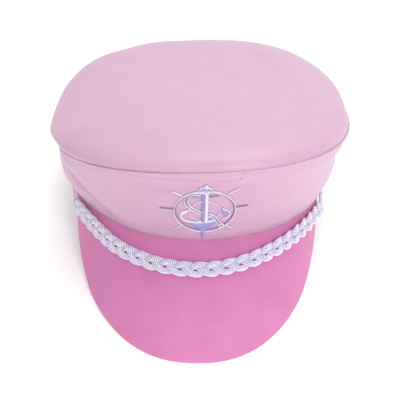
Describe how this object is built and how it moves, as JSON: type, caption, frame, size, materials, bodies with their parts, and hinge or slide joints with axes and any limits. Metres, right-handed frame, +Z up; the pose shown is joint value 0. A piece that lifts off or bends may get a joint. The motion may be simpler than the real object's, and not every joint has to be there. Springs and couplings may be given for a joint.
{
  "type": "captain hat",
  "caption": "Soft captain's hat with a puffed top, slanted fabric visor, plaited cord over the visor and a raised anchor and wheel emblem.",
  "frame": {"origin": "on the surface that the hat rests on, under the middle of the hat's box", "axes": "+Z up, the front of the hat and its visor towards -Y, the wearer's left towards +X"},
  "size_m": [0.209, 0.2894, 0.1089],
  "materials": {
    "crown_cloth": "pale pink satin-faced twill, soft sheen",
    "visor_cloth": "bright pink twill drawn over a stiff board",
    "braid_cord": "white twisted rayon cord with a faint lilac tint",
    "emblem_thread": "white and pale lilac satin-stitch embroidery",
    "button_metal": "dark grey, smooth, low gloss"
  },
  "bodies": {
    "root": {"crown_side": "crown_cloth", "crown_top": "crown_cloth", "visor": "visor_cloth", "braid": "braid_cord", "anchor_emblem": "emblem_thread", "button_left": "button_metal", "button_right": "button_metal"}
  },
  "joints": []
}
